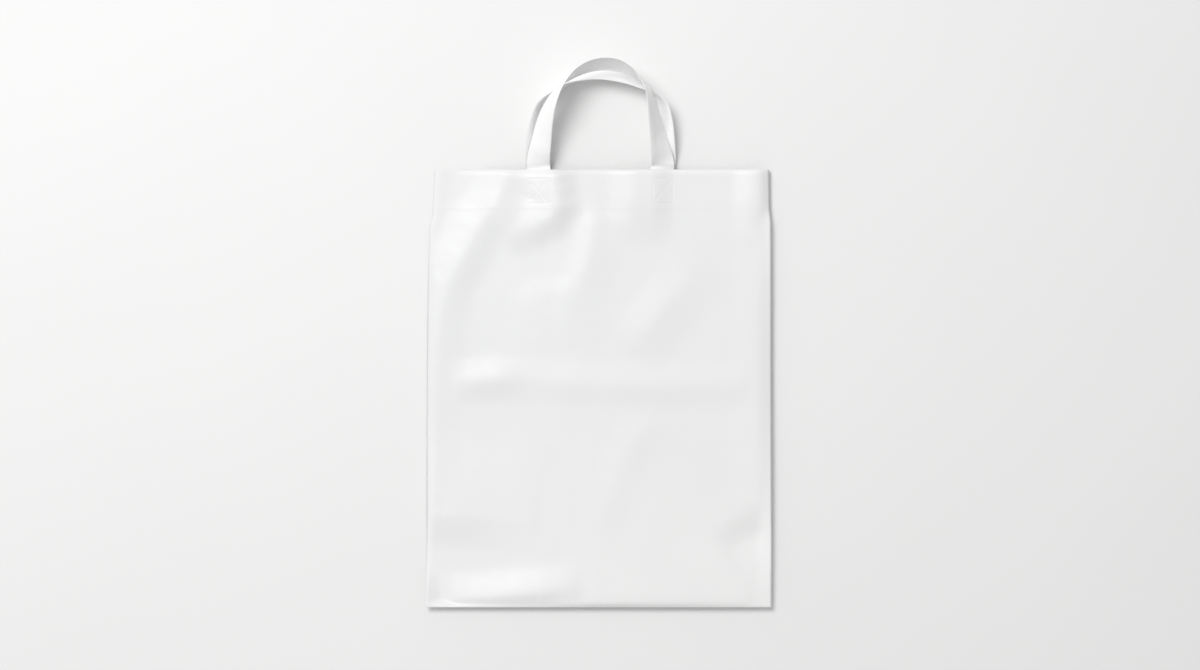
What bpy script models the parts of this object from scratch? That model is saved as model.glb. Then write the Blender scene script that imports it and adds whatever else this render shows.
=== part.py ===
"""Soft-loop carrier bag of white polythene film, lying on its back panel.

The bag is one sheet of film. It folds at the bottom, is welded down both sides,
and its mouth is turned in to make a hem. Two loop handles of doubled film are
welded inside the hem, one to each panel. A little air keeps the panels apart.

Metres, +Z up. +Y runs from the bottom fold to the handles. The origin is under
the middle of the whole object, on the surface that it lies on.
"""

import math

import bmesh
import bpy
import numpy as np

MM = 0.001

# Film and bag
FILM = 0.1 * MM
HALF_WIDTH = 175 * MM
BAG_LENGTH = 447 * MM
HEM = 40 * MM
HEM_GAP = 0.3 * MM
SEAL = 4 * MM
SEAM_THICKNESS = 0.5 * MM
SEAM_HEIGHT = 7.0 * MM
MOUTH_HEIGHT = 9.0 * MM
FULL_HEIGHT = 12.0 * MM
CROWN = 1.5 * MM
MOUTH_REACH = 90 * MM
EDGE_ROUND = 26 * MM
BACK_ROUND = 20 * MM
FOLD_ROUND = 18 * MM

# How far the sides stand inside the full width at the mouth, and how that fades
LEFT_MOUTH_INSET = 10 * MM
LEFT_MOUTH_FADE = 80 * MM
RIGHT_MOUTH_INSET = 2 * MM

# Handles
STRAP_WIDTH = 24 * MM
STRAP_THICKNESS = 0.4 * MM
STRAP_GAP = 0.3 * MM
STRAP_TAIL = 42 * MM
TAIL_STEPS = 4
STRAP_STEPS_PER_STATION = 2
STRAP_COLUMNS = 3

# The straps' centrelines outside the bag: across the bag, above the mouth, height,
# all in millimetres, and the strap's roll in degrees. At roll 0 the strap lies flat,
# and at 90 it stands on its outer edge.
FRONT_LOOP = (
    (-61.9, 10, 11.2, 12),
    (-60.4, 22, 17.4, 26),
    (-57.6, 41, 24.0, 40),
    (-53.6, 57, 30.2, 52),
    (-48.0, 70.8, 35.6, 65),
    (-42.6, 80, 37.0, 76),
    (-35.0, 89, 37.2, 90),
    (-23.5, 98.4, 36.2, 105),
    (-9.5, 104.8, 34.2, 115),
    (6.5, 107.2, 33.4, 118),
    (21.5, 104.8, 34.0, 115),
    (34.0, 98, 36.2, 105),
    (42.3, 89.8, 37.4, 93),
    (48.4, 81.4, 38.0, 82),
    (52.4, 71.5, 36.6, 71),
    (55.9, 56.5, 30.8, 60),
    (59.4, 36, 22.4, 47),
    (62.2, 20, 16.8, 31),
    (64.2, 8, 10.8, 14),
)
BACK_LOOP = (
    (-63.4, 12, 3.6, -10),
    (-64.2, 28, 7.2, -31),
    (-63.6, 46, 10.0, -51),
    (-60.2, 61.5, 11.6, -65),
    (-55.3, 69, 12.2, -73),
    (-49.0, 74.4, 12.4, -80),
    (-34.0, 85.6, 12.6, -92),
    (-16.0, 92.6, 12.3, -108),
    (1.5, 95.4, 11.7, -117),
    (18.0, 93.6, 11.6, -119),
    (31.5, 90, 11.8, -117),
    (45.5, 83.4, 12.3, -108),
    (54.6, 78, 12.5, -92),
    (63.0, 66, 11.9, -68),
    (65.6, 50, 10.1, -51),
    (66.0, 28, 7.3, -31),
    (66.2, 12, 3.6, -10),
)

WHITE = (0.93, 0.93, 0.92, 1.0)

# Layers of film and gap from the back panel up to the front panel
BACK_PANEL, BACK_GAP, BACK_FLAP, INSIDE, FRONT_FLAP, FRONT_GAP, FRONT_PANEL = range(7)
LEVELS = FRONT_PANEL + 2


def smoothstep(low, high, value):
    share = min(max((value - low) / (high - low), 0.0), 1.0)
    return share * share * (3 - 2 * share)


def rounded(distance, reach):
    """0 at an edge, rising on a parabola to 1 at reach."""
    return 1 - (1 - min(distance / reach, 1.0)) ** 2


def outline(below_mouth):
    """Left and right edge of the bag at that distance below its mouth."""
    left = -HALF_WIDTH + LEFT_MOUTH_INSET * math.exp(-below_mouth / LEFT_MOUTH_FADE)
    right = HALF_WIDTH - RIGHT_MOUTH_INSET * (1 - below_mouth / BAG_LENGTH)
    return left, right


def outer_heights(x, below_mouth):
    """Height of the back panel's underside and of the front panel's top at a point."""
    left, right = outline(below_mouth)
    to_side = max(min(x - left, right - x), 0.0)
    to_fold = BAG_LENGTH - below_mouth
    across = (x - left) / (right - left)
    bow = rounded(to_side, EDGE_ROUND) * rounded(to_fold, FOLD_ROUND)
    sag = rounded(to_side, BACK_ROUND) * rounded(to_fold, FOLD_ROUND)
    filled = smoothstep(0, MOUTH_REACH, below_mouth)
    full = FULL_HEIGHT + CROWN * math.sin(math.pi * across)
    plateau = MOUTH_HEIGHT + (full - MOUTH_HEIGHT) * filled
    seam_top = SEAM_HEIGHT + SEAM_THICKNESS / 2
    seam_bottom = SEAM_HEIGHT - SEAM_THICKNESS / 2
    return seam_bottom * (1 - sag), seam_top + (plateau - seam_top) * bow


def film_levels(x, below_mouth):
    """Heights of the faces of every layer at a point, from the back panel up."""
    back, front = outer_heights(x, below_mouth)
    spare = front - back - 4 * FILM
    gap = min(HEM_GAP, spare / 4)
    from_back = [back, back + FILM, back + FILM + gap, back + 2 * FILM + gap]
    from_front = [front - 2 * FILM - gap, front - FILM - gap, front - FILM, front]
    return from_back + from_front


def mirrored_stations(half):
    """Shares from 0 to 1 with the same spacing at both ends."""
    return [s / 2 for s in half] + [1 - s / 2 for s in reversed(half[:-1])]


def column_shares():
    """Where the film's columns stand across the bag, closer together at the seams."""
    from_side = (0, SEAL, 9 * MM, 15 * MM, 22 * MM, 32 * MM, 48 * MM, 72 * MM, 100 * MM)
    half = [d / HALF_WIDTH for d in from_side]
    return mirrored_stations([*half, 1.0 - 35 * MM / HALF_WIDTH, 1.0])


def row_distances():
    """Where the film's rows stand below the mouth. The first and last hold the folds."""
    hem = [0, FILM, HEM * 0.25, HEM * 0.5, HEM * 0.75, HEM]
    shoulder = [55 * MM, 72 * MM, 90 * MM]
    body_end = BAG_LENGTH - FOLD_ROUND
    body = list(np.linspace(shoulder[-1], body_end, 8))[1:]
    fold = [BAG_LENGTH - d * MM for d in (12, 7, 3)] + [BAG_LENGTH - FILM, BAG_LENGTH]
    return hem + shoulder + body + fold


def solid_layers(column, row, columns, rows, hem_rows):
    """Which layers are film in one cell of the grid."""
    in_seal = column in (0, columns - 1)
    in_bottom_fold = row == rows - 1
    if in_seal or in_bottom_fold:
        return set(range(FRONT_PANEL + 1))
    film = {BACK_PANEL, FRONT_PANEL}
    if row < hem_rows:
        film |= {BACK_FLAP, FRONT_FLAP}
    if row == 0:
        film |= {BACK_GAP, FRONT_GAP}
    return film


def material(name, colour, roughness):
    made = bpy.data.materials.new(name)
    made.use_nodes = True
    shader = made.node_tree.nodes["Principled BSDF"]
    shader.inputs["Base Color"].default_value = colour
    shader.inputs["Roughness"].default_value = roughness
    shader.inputs["Metallic"].default_value = 0.0
    return made


def add_object(name, mesh, finish, parent):
    mesh.materials.append(finish)
    made = bpy.data.objects.new(name, mesh)
    made.parent = parent
    bpy.context.scene.collection.objects.link(made)
    return made


def film_mesh(mouth_y):
    """The whole bag as a grid of cells, several layers deep, keeping the film's cells."""
    shares = column_shares()
    distances = row_distances()
    columns, rows = len(shares) - 1, len(distances) - 1
    hem_rows = distances.index(HEM)
    film = {}
    for column in range(columns):
        for row in range(rows):
            for layer in solid_layers(column, row, columns, rows, hem_rows):
                film[column, row, layer] = True

    mesh = bmesh.new()
    points = {}

    def corner(column, row, level):
        key = column, row, level
        if key not in points:
            below = distances[row]
            left, right = outline(below)
            x = left + (right - left) * shares[column]
            points[key] = mesh.verts.new((x, mouth_y - below, film_levels(x, below)[level]))
        return points[key]

    # Each way out of a cell, with that side's corners in order, seen from outside.
    sides = {
        (1, 0, 0): ((1, 0, 0), (1, 0, 1), (1, 1, 1), (1, 1, 0)),
        (-1, 0, 0): ((0, 0, 0), (0, 1, 0), (0, 1, 1), (0, 0, 1)),
        (0, 1, 0): ((0, 1, 0), (1, 1, 0), (1, 1, 1), (0, 1, 1)),
        (0, -1, 0): ((0, 0, 0), (0, 0, 1), (1, 0, 1), (1, 0, 0)),
        (0, 0, 1): ((0, 0, 1), (0, 1, 1), (1, 1, 1), (1, 0, 1)),
        (0, 0, -1): ((0, 0, 0), (1, 0, 0), (1, 1, 0), (0, 1, 0)),
    }
    for cell in film:
        for way, corners in sides.items():
            beyond = tuple(c + w for c, w in zip(cell, way))
            if beyond not in film:
                mesh.faces.new(
                    corner(*(c + o for c, o in zip(cell, offset))) for offset in corners
                )
    result = bpy.data.meshes.new("bag_body")
    mesh.to_mesh(result)
    mesh.free()
    return result


def tail_height(x, below_mouth, is_front):
    """Height of a strap's middle where it lies against the hem, inside the bag."""
    levels = film_levels(x, below_mouth)
    stand_off = STRAP_GAP + STRAP_THICKNESS / 2
    return levels[FRONT_FLAP] - stand_off if is_front else levels[INSIDE] + stand_off


def strap_stations(loop, is_front):
    """The strap's centreline points and rolls, from one welded end to the other."""
    tails = []
    for x in (loop[0][0] * MM, loop[-1][0] * MM):
        tails.append(
            [
                (x, -below, tail_height(x, below, is_front), 0.0)
                for below in np.linspace(0, STRAP_TAIL, TAIL_STEPS)
            ]
        )
    middle = [(x * MM, y * MM, z * MM, math.radians(roll)) for x, y, z, roll in loop]
    return np.array(tails[0][::-1] + middle + tails[1])


def smooth_curve(stations, steps):
    """Points on a Catmull-Rom curve through the stations."""
    ends = [2 * stations[0] - stations[1], 2 * stations[-1] - stations[-2]]
    padded = np.vstack([ends[:1], stations, ends[1:]])
    points = []
    for before, start, end, after in zip(padded, padded[1:], padded[2:], padded[3:]):
        for share in np.arange(steps) / steps:
            points.append(
                0.5
                * (
                    2 * start
                    + (end - before) * share
                    + (2 * before - 5 * start + 4 * end - after) * share**2
                    + (3 * start - before - 3 * end + after) * share**3
                )
            )
    return np.array([*points, stations[-1]])


def strap_rows(loop, is_front):
    """Rows of points across the strap, along its length, measured from the mouth."""
    curve = smooth_curve(strap_stations(loop, is_front), STRAP_STEPS_PER_STATION)
    centres, rolls = curve[:, :3], curve[:, 3]
    along = np.gradient(centres, axis=0)
    along /= np.linalg.norm(along, axis=1)[:, None]
    inward = np.stack([along[:, 1], -along[:, 0], np.zeros(len(along))], axis=1)
    inward /= np.linalg.norm(inward, axis=1)[:, None]
    upward = np.cross(inward, along)
    across = np.cos(rolls)[:, None] * inward + np.sin(rolls)[:, None] * upward
    offsets = np.linspace(-STRAP_WIDTH / 2, STRAP_WIDTH / 2, STRAP_COLUMNS + 1)
    rows = centres[:, None, :] + across[:, None, :] * offsets[None, :, None]
    for point in rows.reshape(-1, 3):
        if point[1] <= 0:
            point[2] = tail_height(point[0], -point[1], is_front)
    return rows


def strap_object(name, loop, is_front, mouth_y, finish, parent):
    """One handle: a ribbon of doubled film, given its thickness by a Solidify."""
    rows = strap_rows(loop, is_front) + np.array([0, mouth_y, 0])
    mesh = bmesh.new()
    grid = [[mesh.verts.new(point) for point in row] for row in rows]
    for this, following in zip(grid, grid[1:]):
        for a, b, c, d in zip(this, this[1:], following[1:], following):
            mesh.faces.new((a, b, c, d))
    bmesh.ops.recalc_face_normals(mesh, faces=mesh.faces)
    made = bpy.data.meshes.new(name)
    mesh.to_mesh(made)
    mesh.free()
    strap = add_object(name, made, finish, parent)
    solidify = strap.modifiers.new("thickness", "SOLIDIFY")
    solidify.thickness = STRAP_THICKNESS
    solidify.offset = 0.0
    return strap


def main():
    for existing in list(bpy.data.objects):
        bpy.data.objects.remove(existing)
    root = bpy.data.objects.new("carrier_bag", None)
    bpy.context.scene.collection.objects.link(root)
    film = material("polythene_film", WHITE, 0.3)
    doubled = material("handle_film", WHITE, 0.4)

    rise = strap_rows(FRONT_LOOP, True)[..., 1].max()
    mouth_y = (BAG_LENGTH - rise) / 2
    add_object("bag_body", film_mesh(mouth_y), film, root)
    strap_object("front_handle", FRONT_LOOP, True, mouth_y, doubled, root)
    strap_object("back_handle", BACK_LOOP, False, mouth_y, doubled, root)


main()
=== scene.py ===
"""A white soft-loop carrier bag lying on its back panel, seen from straight above.

The film of the bag is one sheet: it runs from inside the front of the mouth, over
the hem's fold, down the front panel, round the bottom fold and up the back panel to
the back's hem. Its creases are modelled by height above the surface it lies on. The
two handles are strips of doubled film that follow the routes of the CAD straps.

Lengths are in millimetres until a mesh is made. x runs across the bag, and d runs
down it from the mouth.
"""

import math

import bpy
import numpy as np
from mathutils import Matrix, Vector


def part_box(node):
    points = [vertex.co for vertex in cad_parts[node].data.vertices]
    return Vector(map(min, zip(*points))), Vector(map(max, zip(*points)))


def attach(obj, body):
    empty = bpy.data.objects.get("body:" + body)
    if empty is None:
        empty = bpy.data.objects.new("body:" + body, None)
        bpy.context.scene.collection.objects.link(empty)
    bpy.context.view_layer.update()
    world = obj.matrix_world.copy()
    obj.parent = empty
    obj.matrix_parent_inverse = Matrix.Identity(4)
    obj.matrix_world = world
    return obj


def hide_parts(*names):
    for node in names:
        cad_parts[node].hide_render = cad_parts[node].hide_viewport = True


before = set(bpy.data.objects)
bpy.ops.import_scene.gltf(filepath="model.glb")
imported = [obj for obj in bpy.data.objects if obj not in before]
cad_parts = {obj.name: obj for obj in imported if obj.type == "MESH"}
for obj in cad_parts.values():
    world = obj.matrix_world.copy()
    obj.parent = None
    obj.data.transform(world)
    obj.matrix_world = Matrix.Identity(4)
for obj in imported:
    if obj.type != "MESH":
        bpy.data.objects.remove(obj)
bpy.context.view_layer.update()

MM = 0.001

body_low, body_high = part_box("bag_body")
MOUTH_Y = body_high.y / MM
BAG_LENGTH = (body_high.y - body_low.y) / MM - 1.5
HALF_WIDTH = (body_high.x - body_low.x) / 2 / MM

# Film and hem. TURN is how far the film stands out where it turns at the mouth and
# at the bottom fold. HEM_STEP is the step on the outside where the inner layer ends.
FILM = 0.1
TURN = 0.2
HEM = 40.5
HEM_SPACING = 0.45
HEM_STEP = 0.11
HEM_EDGE = 0.8

# How far the outline is off the straight sides
LEFT_BULGE = 1.6
LEFT_TAPER = 5.6
LEFT_TAPER_LENGTH = 90.0
LEFT_HEM_IN = 2.8
RIGHT_TAPER = 1.3
RIGHT_TAPER_LENGTH = 120.0
RIGHT_HEM_IN = 0.9

# Heights above the surface that the bag lies on
LEFT_SEAM = 0.5
RIGHT_SEAM = 8.6
SEAM_SWING = 0.6
SEAM_SWING_LENGTH = 310.0
SEAM_OPENING = 0.3
HEM_END_DROP = 3.6
MOUTH_LIP = 7.4
MOUTH_HEIGHT = 8.8
FULL_HEIGHT = 11.8
LEFT_LOWER = 8.6
RIGHT_LOWER = 2.2
BOTTOM_HEIGHT = 10.6
FOLD_HEIGHT = 8.0
LEAST_AIR = 0.8

# How far in from the edges these heights are reached
MOUTH_LIP_REACH = 5.0
MOUTH_REACH = 200.0
SEAM_TO_FOLD = 60.0
LEFT_ROUND = 8.0
RIGHT_ROUND = 18.0
HEM_RIGHT_ROUND = 10.0
BACK_ROUND = 24.0
FOLD_ROUND = 5.0

# How softly a fold's crest and foot turn, how it fades out at its ends, and how
# gradually one stretch of its crest takes over from the next
CREST_ROUND = 3.5
FOOT_ROUND = 0.16
FOLD_FADE = 16.0
CREST_BLEND = 5.0
DISTANCE_BLEND = 1.5

# Handles
STRAP_WIDTH = 24.0
STRAP_THICKNESS = 0.36
STRAP_TAIL = 42.5
STRAP_CLEARANCE = 0.45
STRAP_COLUMNS = 24
STRAP_STEPS = 9
STRAP_BOW = 0.5
STRAP_ROLL = 0.9
STRAP_ROLL_WIDTH = 2.6
STRAP_CREASE = 0.4
STRAP_CREASE_AT = 7.0
STRAP_CREASE_WIDTH = 4.0

# Weld stamps that join the handles to the hem
STAMP_HALF_WIDTH = 10.2
STAMP_HALF_LENGTH = 12.5
STAMP_BELOW_MOUTH = 21.8
STAMP_LINE = 0.65
STAMP_DEPTH = 0.3
STAMP_STITCH = 2.8
LEFT_STAMP_X = -62.4
RIGHT_STAMP_X = 64.4

# The same routes as the CAD straps: across, above the mouth, height, and roll in
# degrees. At roll 0 the strap lies flat, and at 90 it stands on its outer edge.
FRONT_LOOP = (
    (-61.9, 10, 11.2, 12),
    (-60.4, 22, 17.4, 26),
    (-57.6, 41, 24.0, 40),
    (-53.6, 57, 30.2, 52),
    (-48.0, 70.8, 35.6, 65),
    (-42.6, 80, 37.0, 76),
    (-35.0, 89, 37.2, 90),
    (-23.5, 98.4, 36.2, 105),
    (-9.5, 104.8, 34.2, 115),
    (6.5, 107.2, 33.4, 118),
    (21.5, 104.8, 34.0, 115),
    (34.0, 98, 36.2, 105),
    (42.3, 89.8, 37.4, 93),
    (48.4, 81.4, 38.0, 82),
    (52.4, 71.5, 36.6, 71),
    (55.9, 56.5, 30.8, 60),
    (59.4, 36, 22.4, 47),
    (62.2, 20, 16.8, 31),
    (64.2, 8, 10.8, 14),
)
BACK_LOOP = (
    (-63.4, 12, 3.6, -10),
    (-64.2, 28, 7.2, -31),
    (-63.6, 46, 10.0, -51),
    (-60.2, 61.5, 11.6, -65),
    (-55.3, 69, 12.2, -73),
    (-49.0, 74.4, 12.4, -80),
    (-34.0, 85.6, 12.6, -92),
    (-16.0, 92.6, 12.3, -108),
    (1.5, 95.4, 11.7, -117),
    (18.0, 93.6, 11.6, -119),
    (31.5, 90, 11.8, -117),
    (45.5, 83.4, 12.3, -108),
    (54.6, 78, 12.5, -92),
    (63.0, 66, 11.9, -68),
    (65.6, 50, 10.1, -51),
    (66.0, 28, 7.3, -31),
    (66.2, 12, 3.6, -10),
)

# Folds in the front panel. Each has its crest's path as (x, d, height), and how far
# its flanks reach towards the top left and towards the bottom right. A negative
# height is a valley.
FOLDS = {
    "from the hem's left end and down the left side": (
        (
            (-87, -8, 3.4),
            (-98, 16, 3.6),
            (-108, 37, 4.2),
            (-124, 62, 4.6),
            (-139, 90, 4.6),
            (-153, 118, 3.8),
            (-161, 150, 3.0),
            (-164, 200, 2.4),
            (-166, 260, 2.0),
            (-170, 345, 0.8),
        ),
        29,
        23,
    ),
    "round the left end of the front handle": (
        (
            (-46, -8, 5.8),
            (-44, 20, 6.4),
            (-42, 36, 6.8),
            (-50, 49, 6.2),
            (-66, 58, 4.8),
            (-84, 64, 3.0),
            (-104, 72, 0.8),
        ),
        36,
        18,
    ),
    "down from the middle of the hem": (
        (
            (4, 36, 0.2),
            (-5, 58, 2.0),
            (-9, 84, 2.5),
            (-15, 104, 2.5),
            (-23, 122, 1.9),
            (-30, 148, 1.0),
            (-34, 186, 0.3),
        ),
        16,
        28,
    ),
    "branch to the left": (
        (
            (-24, 122, 0.5),
            (-44, 126, 0.8),
            (-66, 129, 0.8),
            (-92, 144, 0.3),
        ),
        15,
        34,
    ),
    "from the right towards the middle": (
        (
            (114, 80, 0.2),
            (96, 100, 0.8),
            (84, 118, 1.8),
            (67, 140, 2.7),
            (49, 162, 2.6),
            (26, 192, 0.5),
        ),
        28,
        32,
    ),
    "middle fold": (
        (
            (-156, 215, 0.4),
            (-130, 216, 3.2),
            (-104, 213, 3.6),
            (-74, 215, 1.7),
            (-20, 218, 1.6),
            (60, 219, 2.0),
            (130, 220, 1.8),
            (158, 219, 0.4),
        ),
        21,
        19,
    ),
    "faint, in the lower half": (
        (
            (48, 246, 0.3),
            (36, 275, 1.2),
            (18, 305, 1.2),
            (9, 335, 1.1),
            (-6, 376, 0.3),
        ),
        20,
        20,
    ),
    "swelling above the left pinch": (
        (
            (-186, 350, 4.8),
            (-150, 352, 5.0),
            (-104, 356, 2.2),
            (-56, 362, 0.4),
        ),
        80,
        28,
    ),
    "pinch at the right side": (
        (
            (179, 366, -3.6),
            (164, 371, -5.2),
            (148, 378, -4.8),
            (122, 398, -0.6),
        ),
        22,
        50,
    ),
    "roll above the bottom fold": (
        (
            (-160, 440, 0.8),
            (-142, 437, 4.2),
            (-100, 434, 5.2),
            (-60, 430, 4.6),
            (-36, 426, 2.8),
            (-12, 424, 0.4),
        ),
        25,
        13,
    ),
    "along the bottom fold": (
        (
            (-20, 434, 0.9),
            (60, 435, 1.5),
            (162, 436, 1.2),
        ),
        60,
        13,
    ),
    "along the right side": (
        (
            (163, 52, 0.6),
            (164, 110, 1.5),
            (163, 300, 1.5),
            (160, 350, 0.6),
        ),
        27,
        12,
    ),
    "small, under the hem": (
        (
            (22, 53, 0.3),
            (30, 52, 0.8),
            (40, 53, 0.3),
        ),
        6,
        12,
    ),
}

# Rises and falls along the hem: from x, to x, and by how much
HEM_WAVE = (
    (-128, -98, 1.2),
    (-50, -26, -1.2),
    (6, 38, 4.6),
    (52, 78, -4.8),
    (84, 110, 0.2),
    (134, 158, 4.0),
    (160, 172, -1.6),
)

# Ranges of d over which the hem's stiffness ends: for its outline, for the seams
# and the rounding beside them, and for the wave
HEM_LEFT_END = (44, 62)
HEM_RIGHT_END = (38, 54)
HEM_SEAM_END = (34, 60)
HEM_WAVE_END = (HEM - 16, HEM + 44)


# ---------------------------------------------------------------- shape of the film


def smoothstep(low, high, value):
    share = np.clip((value - low) / (high - low), 0.0, 1.0)
    return share * share * (3 - 2 * share)


def rounded(distance, reach):
    """0 at an edge, rising on a parabola to 1 at reach."""
    return 1 - (1 - np.clip(distance / reach, 0.0, 1.0)) ** 2


def outline(d):
    """Left and right edge of the bag. The hem's ends are drawn in a little."""
    left = -HALF_WIDTH - LEFT_BULGE + LEFT_TAPER * np.exp(-d / LEFT_TAPER_LENGTH)
    left += LEFT_HEM_IN * (1 - smoothstep(*HEM_LEFT_END, d))
    right = HALF_WIDTH - RIGHT_TAPER * np.exp(-d / RIGHT_TAPER_LENGTH)
    right -= RIGHT_HEM_IN * (1 - smoothstep(*HEM_RIGHT_END, d))
    return left, right


def fold_height(x, d, path, reach_up_left, reach_down_right):
    """Height that one fold adds. Stretches of its crest blend where both are near."""
    distances, crests, reaches, before = [], [], [], 0.0
    whole = sum(math.hypot(b[0] - a[0], b[1] - a[1]) for a, b in zip(path, path[1:]))
    for (x1, d1, height1), (x2, d2, height2) in zip(path, path[1:]):
        length = math.hypot(x2 - x1, d2 - d1)
        ux, ud = (x2 - x1) / length, (d2 - d1) / length
        run = np.clip((x - x1) * ux + (d - d1) * ud, 0, length)
        off_x, off_d = x - (x1 + run * ux), d - (d1 + run * ud)
        normal_x, normal_d = (ud, -ux) if ud < ux else (-ud, ux)
        up_left = off_x * normal_x + off_d * normal_d
        lit = smoothstep(-CREST_ROUND, CREST_ROUND, up_left)
        start = smoothstep(0, FOLD_FADE, before + run)
        end = smoothstep(0, FOLD_FADE, whole - before - run)
        distances.append(np.hypot(np.hypot(off_x, off_d), CREST_ROUND) - CREST_ROUND)
        crests.append((height1 + (height2 - height1) * run / length) * start * end)
        reaches.append(reach_down_right + (reach_up_left - reach_down_right) * lit)
        before += length

    def blended(values, width):
        shares = np.exp((np.min(distances, axis=0) - distances) / width)
        return (shares * values).sum(axis=0) / shares.sum(axis=0)

    left_over = 1 - blended(distances, DISTANCE_BLEND) / blended(reaches, CREST_BLEND)
    share = (left_over + np.hypot(left_over, FOOT_ROUND)) / 2
    return blended(crests, CREST_BLEND) * share


def hem_wave(x):
    """The hem is stiffer than the panel, and waves along its length only."""
    return sum(rise * smoothstep(start, end, x) for start, end, rise in HEM_WAVE)


def stamp_depth(x, d):
    """Weld stamps: a sunk frame and its two diagonals, over each end of a handle."""
    depth = np.zeros(x.shape)
    diagonal = math.hypot(STAMP_HALF_WIDTH, STAMP_HALF_LENGTH)
    slant = STAMP_HALF_WIDTH * STAMP_HALF_LENGTH / diagonal
    for centre in (LEFT_STAMP_X, RIGHT_STAMP_X):
        u = np.abs((x - centre) / STAMP_HALF_WIDTH)
        v = np.abs((d - STAMP_BELOW_MOUTH) / STAMP_HALF_LENGTH)
        beside, beyond = (u - 1) * STAMP_HALF_WIDTH, (v - 1) * STAMP_HALF_LENGTH
        side_off = np.hypot(beside, np.clip(beyond, 0, None))
        end_off = np.hypot(beyond, np.clip(beside, 0, None))
        cross_off = np.where(np.maximum(u, v) < 1, np.abs(u - v) * slant, np.inf)
        off = np.minimum(np.minimum(side_off, end_off), cross_off)
        stitch = 0.75 + 0.25 * np.cos(2 * math.pi * (x + d) / STAMP_STITCH)
        depth = np.maximum(depth, stitch * np.exp(-((off / STAMP_LINE) ** 2)))
    return STAMP_DEPTH * depth


def ripple(x, d):
    """Slight unevenness that all soft film has."""
    return (
        0.16 * np.sin(x / 23.0 + 1.3 * np.sin(d / 61.0) + 0.6)
        + 0.14 * np.sin(d / 27.0 - 1.1 * np.sin(x / 57.0))
        + 0.07 * np.sin((x + 0.6 * d) / 11.0 + 1.7 * np.sin(x / 39.0))
    )


def seam_height(x, d):
    """Height of the side seams, which meet the bottom fold at its own height."""
    middle = LEFT_SEAM + (RIGHT_SEAM - LEFT_SEAM) * smoothstep(-HALF_WIDTH, HALF_WIDTH, x)
    turn = 2 * math.pi * d / SEAM_SWING_LENGTH + 0.7
    swing = SEAM_SWING * middle / RIGHT_SEAM * np.sin(turn)
    to_right = smoothstep(0, HALF_WIDTH, x)
    middle = middle - HEM_END_DROP * to_right * (1 - smoothstep(*HEM_SEAM_END, d))
    at_fold = smoothstep(BAG_LENGTH - SEAM_TO_FOLD, BAG_LENGTH, d)
    return (middle + swing) * (1 - at_fold) + FOLD_HEIGHT * at_fold


def edge_distances(x, d):
    left, right = outline(d)
    to_side = np.clip(np.minimum(x - left, right - x), 0, None)
    return to_side, np.clip(BAG_LENGTH - d, 0, None)


def back_height(x, d):
    """Underside of the bag: flat where it lies, lifted towards the seams."""
    to_side, to_fold = edge_distances(x, d)
    lifted = 1 - rounded(to_side, BACK_ROUND) * rounded(to_fold, 2 * FOLD_ROUND)
    return FILM / 2 + (seam_height(x, d) - SEAM_OPENING / 2 - FILM / 2) * lifted


def front_height(x, d):
    """Top of the bag: the air inside, the folds, the hem's wave and the stamps."""
    to_side, to_fold = edge_distances(x, d)
    past_hem = smoothstep(*HEM_SEAM_END, d)
    right_round = HEM_RIGHT_ROUND + (RIGHT_ROUND - HEM_RIGHT_ROUND) * past_hem
    side_round = np.where(x < 0, LEFT_ROUND, right_round)
    full = rounded(to_side, side_round) * rounded(to_fold, FOLD_ROUND)
    crown = MOUTH_HEIGHT + (FULL_HEIGHT - MOUTH_HEIGHT) * smoothstep(0, MOUTH_REACH, d)
    crown = crown - LEFT_LOWER * (1 - smoothstep(-HALF_WIDTH, 0, x))
    crown = crown - RIGHT_LOWER * smoothstep(0, HALF_WIDTH, x)
    crown -= (FULL_HEIGHT - BOTTOM_HEIGHT) * smoothstep(0.6 * BAG_LENGTH, BAG_LENGTH, d)
    relief = ripple(x, d) + sum(fold_height(x, d, *fold) for fold in FOLDS.values())
    relief += hem_wave(x) * (1 - smoothstep(*HEM_WAVE_END, d))
    relief += HEM_STEP * (1 - smoothstep(HEM - HEM_EDGE, HEM + HEM_EDGE, d))
    at_lip = 1 - rounded(np.clip(d, 0, None), MOUTH_LIP_REACH)
    relief -= (MOUTH_HEIGHT - MOUTH_LIP) * at_lip
    relief -= stamp_depth(x, d)
    seam_top = seam_height(x, d) + SEAM_OPENING / 2
    lowest = back_height(x, d) + SEAM_OPENING + LEAST_AIR * full
    return np.maximum(seam_top + (crown - seam_top + relief) * full, lowest)


# ---------------------------------------------------------------- meshes


def stations(length, step_at):
    """Places from 0 to length whose spacing step_at gives."""
    places = [0.0]
    while places[-1] < length:
        places.append(places[-1] + step_at(places[-1]))
    return np.array(places) * (length / places[-1])


def column_places():
    """Columns across the bag, close together at the stamps and at the seams."""

    def step(place):
        x = place - HALF_WIDTH
        to_stamp = min(abs(x - LEFT_STAMP_X), abs(x - RIGHT_STAMP_X))
        if to_stamp < STAMP_HALF_WIDTH + 3:
            return 0.58
        return 2.2 if HALF_WIDTH - abs(x) < 14 else 4.4

    return stations(2 * HALF_WIDTH, step) - HALF_WIDTH


def front_rows():
    def step(d):
        if abs(d - STAMP_BELOW_MOUTH) < STAMP_HALF_LENGTH + 3:
            return 0.62
        if d < HEM + 8:
            return 1.2
        return 2.0 if BAG_LENGTH - d < 16 else 4.2

    return stations(BAG_LENGTH, step)


def back_rows():
    return stations(BAG_LENGTH, lambda d: 1.2 if d < HEM + 3 else 8.0)


def grid_faces(rows, columns):
    index = np.arange(rows * columns).reshape(rows, columns)
    corners = index[:-1, :-1], index[:-1, 1:], index[1:, 1:], index[1:, :-1]
    return np.stack([c.ravel() for c in corners], axis=1).tolist()


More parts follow.
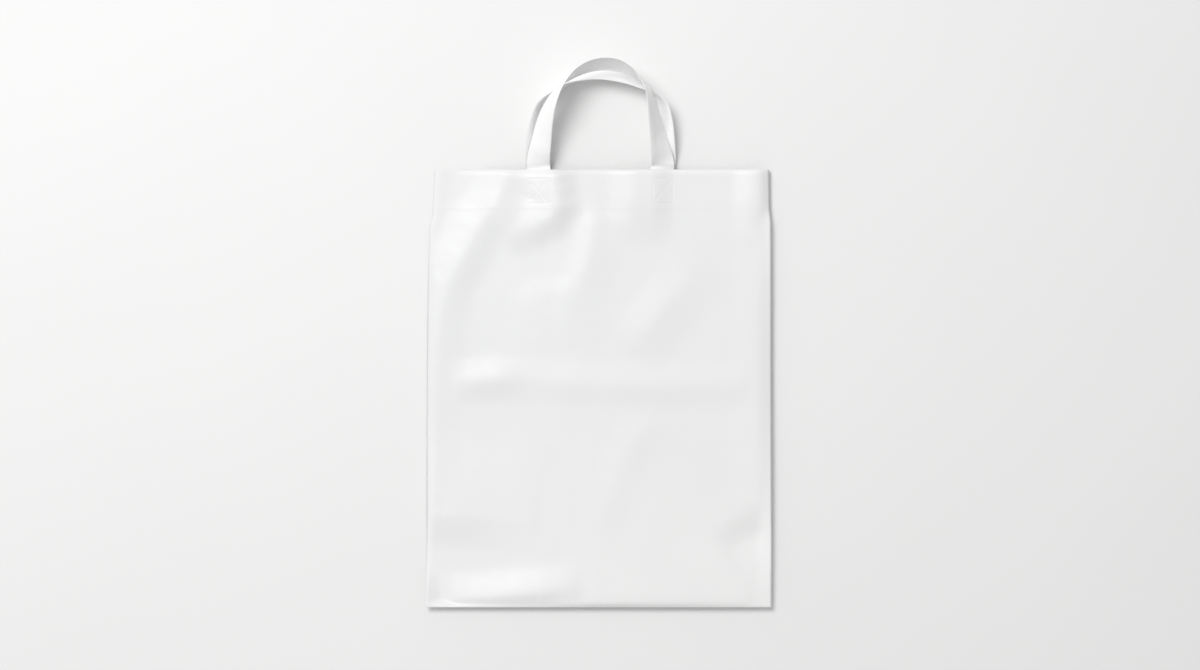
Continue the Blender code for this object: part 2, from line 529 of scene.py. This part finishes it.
def grid_object(name, points):
    """A smooth mesh from a grid of points in millimetres."""
    mesh = bpy.data.meshes.new(name)
    flat = (points * MM).reshape(-1, 3)
    mesh.from_pydata(flat.tolist(), [], grid_faces(*points.shape[:2]))
    mesh.polygons.foreach_set("use_smooth", [True] * len(mesh.polygons))
    made = bpy.data.objects.new(name, mesh)
    bpy.context.scene.collection.objects.link(made)
    return made


def thicken(piece, thickness):
    solidify = piece.modifiers.new("film", "SOLIDIFY")
    solidify.thickness = thickness * MM
    solidify.offset = 0.0


def film_layers_and_painted_light(x, d):
    """0 to 1: whiter where film lies in layers, and painted light: lighter towards the bottom and
    the right, where the key light falls off.
    """
    soft = 0.6
    hem = 1 - smoothstep(HEM - soft, HEM + soft, d)
    strap = np.zeros(x.shape)
    for centre in (LEFT_STAMP_X, RIGHT_STAMP_X):
        beside = 1 - smoothstep(-soft, soft, np.abs(x - centre) - STRAP_WIDTH / 2)
        strap = np.maximum(strap, beside * (1 - smoothstep(-soft, soft, d - STRAP_TAIL)))
    # Painted light: the film's tone rises towards the bottom and the right, evening out the falloff
    # of the key light from the top left.
    painted_light_drift = 0.7 * smoothstep(120, BAG_LENGTH, d) + 0.3 * smoothstep(-HALF_WIDTH, HALF_WIDTH, x)
    return painted_light_drift + 0.06 * hem + 0.06 * strap


def film_object():
    """The bag's film as one sheet, from the front hem's inside to the back's."""
    across = (column_places() + HALF_WIDTH) / (2 * HALF_WIDTH)
    front, back = front_rows(), back_rows()
    hem_rows = np.linspace(0, HEM, 10)[1:]
    strips = []

    def add(distances, height):
        d = np.repeat(distances[:, None], len(across), axis=1)
        left, right = outline(d)
        x = left + (right - left) * across
        strips.append((x, d, height(x, d)))

    def inside(x, d, share):
        """Part of the hem's spacing, less where the panels come together."""
        spare = front_height(x, d) - back_height(x, d)
        return share * np.minimum(HEM_SPACING, spare / 4)

    add(hem_rows[::-1], lambda x, d: front_height(x, d) - inside(x, d, 1.0))
    add(np.array([-TURN]), lambda x, d: front_height(x, d) - inside(x, d, 0.5))
    add(front, front_height)
    bottom = np.array([BAG_LENGTH + TURN])
    add(bottom, lambda x, d: (front_height(x, d) + back_height(x, d)) / 2)
    add(back[::-1], back_height)
    add(np.array([-TURN]), lambda x, d: back_height(x, d) + inside(x, d, 0.5))
    add(hem_rows, lambda x, d: back_height(x, d) + inside(x, d, 1.0))

    x, d, z = (np.concatenate(parts) for parts in zip(*strips))
    film = grid_object("bag_film", np.stack([x, MOUTH_Y - d, z], axis=2))
    # Layers of film, and painted light that evens out the key light's falloff, for the film's
    # colour
    layer_and_painted_light_share = film.data.attributes.new("layer_and_painted_light_share", "FLOAT", "POINT")
    layer_and_painted_light_share.data.foreach_set("value", film_layers_and_painted_light(x, d).ravel())
    thicken(film, FILM)
    return film


def smooth_curve(points, steps):
    """Points on a Catmull-Rom curve through the given ones."""
    ends = [2 * points[0] - points[1], 2 * points[-1] - points[-2]]
    padded = np.vstack([ends[:1], points, ends[1:]])
    curve = []
    for before, start, end, after in zip(padded, padded[1:], padded[2:], padded[3:]):
        for share in np.arange(steps) / steps:
            curve.append(
                0.5
                * (
                    2 * start
                    + (end - before) * share
                    + (2 * before - 5 * start + 4 * end - after) * share**2
                    + (3 * start - before - 3 * end + after) * share**3
                )
            )
    return np.array([*curve, points[-1]])


def strap_section(offset):
    """How far the strap's section stands off its flat: crease, bow and rolled edges."""
    half = STRAP_WIDTH / 2
    into_edge = 1 - (half - np.abs(offset)) / STRAP_ROLL_WIDTH
    off_crease = np.abs(offset - STRAP_CREASE_AT) / STRAP_CREASE_WIDTH
    bow = STRAP_BOW * (offset / half) ** 2
    rolled = STRAP_ROLL * np.clip(into_edge, 0, 1) ** 2
    crease = STRAP_CREASE * np.clip(1 - off_crease, 0, 1)
    return crease - bow - rolled


def strap_object(name, loop, is_front):
    """One handle and its length, from one welded end round the loop to the other."""
    below = np.linspace(STRAP_TAIL, 0, 5)
    hung = HEM_SPACING + STRAP_CLEARANCE

    def tail_point(x, d):
        film = front_height if is_front else back_height
        lift = -hung if is_front else hung
        return x, -d, float(film(np.array([x]), np.array([d]))[0]) + lift, 0.0

    first = [tail_point(loop[0][0], d) for d in below]
    last = [tail_point(loop[-1][0], d) for d in below[::-1]]
    curve = smooth_curve(np.array([*first, *loop, *last], float), STRAP_STEPS)
    centre, roll = curve[:, :3], np.radians(curve[:, 3])

    along = np.gradient(centre, axis=0)
    along /= np.linalg.norm(along, axis=1)[:, None]
    inward = np.stack([along[:, 1], -along[:, 0], np.zeros(len(along))], axis=1)
    inward /= np.linalg.norm(inward, axis=1)[:, None]
    upward = np.cross(inward, along)
    across = np.cos(roll)[:, None] * inward + np.sin(roll)[:, None] * upward
    facing = np.cos(roll)[:, None] * upward - np.sin(roll)[:, None] * inward

    offset = np.linspace(-STRAP_WIDTH / 2, STRAP_WIDTH / 2, STRAP_COLUMNS + 1)
    free = smoothstep(2, 40, centre[:, 1])[:, None]
    stand_off = strap_section(offset)[None, :] * free
    points = centre[:, None] + across[:, None] * offset[None, :, None]
    points += facing[:, None] * stand_off[:, :, None]

    # Under the hem the strap follows the film above or below it
    x, d = points[..., 0], -points[..., 1]
    covered = np.clip(d, 0, None)
    if is_front:
        film = front_height(x, covered) - hung
    else:
        film = back_height(x, covered) + hung
    points[..., 2] += (film - points[..., 2]) * smoothstep(-6, 0, d)
    points[..., 1] += MOUTH_Y
    strap = grid_object(name, points)
    thicken(strap, STRAP_THICKNESS)
    length = float(np.linalg.norm(np.diff(centre, axis=0), axis=1).sum()) * MM
    return strap, length


# ---------------------------------------------------------------- finishes


def new_material(name):
    material = bpy.data.materials.new(name)
    material.use_nodes = True
    nodes, links = material.node_tree.nodes, material.node_tree.links
    return material, nodes, links, nodes["Principled BSDF"]


def noise(nodes, links, scale, detail, stretch=(1, 1, 1)):
    """A noise texture in object space, in features per metre, stretched per axis."""
    place = nodes.new("ShaderNodeTexCoord")
    mapping = nodes.new("ShaderNodeMapping")
    mapping.inputs["Scale"].default_value = stretch
    texture = nodes.new("ShaderNodeTexNoise")
    texture.inputs["Scale"].default_value = scale
    texture.inputs["Detail"].default_value = detail
    links.new(place.outputs["Object"], mapping.inputs["Vector"])
    links.new(mapping.outputs["Vector"], texture.inputs["Vector"])
    return texture.outputs["Fac"]


def spread(nodes, links, source, low, high):
    """The source's 0.3 to 0.7 mapped to low to high."""
    ranged = nodes.new("ShaderNodeMapRange")
    ranged.inputs["From Min"].default_value = 0.3
    ranged.inputs["From Max"].default_value = 0.7
    ranged.inputs["To Min"].default_value = low
    ranged.inputs["To Max"].default_value = high
    links.new(source, ranged.inputs["Value"])
    return ranged.outputs["Result"]


def colour_between(nodes, links, share, low, high):
    mix = nodes.new("ShaderNodeMix")
    mix.data_type = "RGBA"
    mix.inputs[6].default_value = low
    mix.inputs[7].default_value = high
    links.new(share, mix.inputs[0])
    return mix.outputs[2]


def bump(nodes, links, source, distance, strength, below=None):
    made = nodes.new("ShaderNodeBump")
    made.inputs["Distance"].default_value = distance
    made.inputs["Strength"].default_value = strength
    links.new(source, made.inputs["Height"])
    if below is not None:
        links.new(below, made.inputs["Normal"])
    return made.outputs["Normal"]


def film_material():
    """Glossy white film, finely streaked along its length as blown film is."""
    material, nodes, links, shader = new_material("white_film")
    attribute = nodes.new("ShaderNodeAttribute")
    attribute.attribute_name = "layer_and_painted_light_share"
    cloud = spread(nodes, links, noise(nodes, links, 14, 3), -0.1, 0.1)
    tone = nodes.new("ShaderNodeMath")
    tone.operation = "ADD"
    tone.use_clamp = True
    links.new(attribute.outputs["Fac"], tone.inputs[0])
    links.new(cloud, tone.inputs[1])
    # Painted light: the lighter tone is reached towards the bottom and the right, evening out the
    # key light's falloff; the hem and the handle ends add a little for their extra layers.
    plain_film_tone, layered_and_painted_light_tone = (0.784, 0.785, 0.787, 1), (0.842, 0.842, 0.838, 1)
    colour = colour_between(nodes, links, tone.outputs["Value"], plain_film_tone, layered_and_painted_light_tone)
    links.new(colour, shader.inputs["Base Color"])
    rough = spread(nodes, links, noise(nodes, links, 40, 4), 0.28, 0.4)
    links.new(rough, shader.inputs["Roughness"])
    shader.inputs["Specular IOR Level"].default_value = 0.25
    streaks = noise(nodes, links, 260, 2, (1, 0.06, 1))
    drawn = bump(nodes, links, streaks, 0.00006, 0.5)
    crinkle = noise(nodes, links, 90, 5)
    links.new(bump(nodes, links, crinkle, 0.0004, 0.35, drawn), shader.inputs["Normal"])
    return material


def handle_material():
    """Several layers of the same film, whiter and less glossy."""
    material, nodes, links, shader = new_material("handle_film")
    cloud = spread(nodes, links, noise(nodes, links, 50, 3), 0, 1)
    colour = colour_between(nodes, links, cloud, (0.885, 0.885, 0.885, 1), (0.915, 0.915, 0.91, 1))
    links.new(colour, shader.inputs["Base Color"])
    rough = spread(nodes, links, noise(nodes, links, 90, 3), 0.32, 0.46)
    links.new(rough, shader.inputs["Roughness"])
    crinkle = noise(nodes, links, 220, 4)
    links.new(bump(nodes, links, crinkle, 0.0003, 0.35), shader.inputs["Normal"])
    return material


def floor_material():
    material, nodes, links, shader = new_material("pale_floor")
    cloud = spread(nodes, links, noise(nodes, links, 3, 2), 0, 1)
    colour = colour_between(nodes, links, cloud, (0.815, 0.815, 0.812, 1), (0.825, 0.825, 0.822, 1))
    links.new(colour, shader.inputs["Base Color"])
    shader.inputs["Roughness"].default_value = 0.7
    return material


# ---------------------------------------------------------------- studio


def add_floor():
    """A wide pale floor, a hair under the bag so that the two don't share a plane."""
    bpy.ops.mesh.primitive_plane_add(size=14, location=(0, 0, -0.2 * MM))
    floor = bpy.context.object
    floor.name = "floor"
    floor.data.materials.append(floor_material())


def add_lights():
    """A large soft key from the top left, and a white surround brighter on that side."""
    key_from, elevation, distance = math.radians(129), math.radians(59), 3.2
    aside = math.cos(elevation) * distance
    height = math.sin(elevation) * distance
    key = bpy.data.lights.new("key", "AREA")
    key.shape = "DISK"
    key.size = 1.6
    key.energy = 59.5
    lamp = bpy.data.objects.new("key", key)
    lamp.location = (aside * math.cos(key_from), aside * math.sin(key_from), height)
    lamp.rotation_euler = (math.pi / 2 - elevation, 0, key_from + math.pi / 2)
    bpy.context.scene.collection.objects.link(lamp)
    world = bpy.data.worlds.new("surround")
    world.use_nodes = True
    nodes, links = world.node_tree.nodes, world.node_tree.links
    direction = nodes.new("ShaderNodeTexCoord").outputs["Generated"]
    towards_key = nodes.new("ShaderNodeVectorMath")
    towards_key.operation = "DOT_PRODUCT"
    towards_key.inputs[1].default_value = (math.cos(key_from), math.sin(key_from), 0)
    links.new(direction, towards_key.inputs[0])
    level = nodes.new("ShaderNodeMath")
    level.operation = "MULTIPLY_ADD"
    level.inputs[1].default_value = 0.08
    level.inputs[2].default_value = 0.57
    links.new(towards_key.outputs["Value"], level.inputs[0])
    background = nodes["Background"]
    background.inputs["Color"].default_value = (1.0, 1.0, 1.0, 1)
    links.new(level.outputs["Value"], background.inputs["Strength"])
    bpy.context.scene.world = world
    bpy.context.scene.view_settings.view_transform = "Standard"


def add_camera():
    """Straight above, a little below the handles, with the whole bag in view."""
    lens, view_width, look_x, look_below_mouth = 120.0, 1.2245, 0.5, 168.4
    data = bpy.data.cameras.new("camera")
    data.lens = lens
    camera = bpy.data.objects.new("camera", data)
    distance = view_width * lens / data.sensor_width
    camera.location = (look_x * MM, (MOUTH_Y - look_below_mouth) * MM, distance)
    bpy.context.scene.collection.objects.link(camera)
    bpy.context.scene.camera = camera


def main():
    film = film_object()
    film.data.materials.append(film_material())
    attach(film, "root")
    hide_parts("bag_body")

    strap_finish = handle_material()
    for name, loop, is_front in (
        ("front_handle_film", FRONT_LOOP, True),
        ("back_handle_film", BACK_LOOP, False),
    ):
        strap, length = strap_object(name, loop, is_front)
        strap.data.materials.append(strap_finish)
        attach(strap, "root")
        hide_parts(name.removesuffix("_film"))

    add_floor()
    add_lights()
    add_camera()


main()
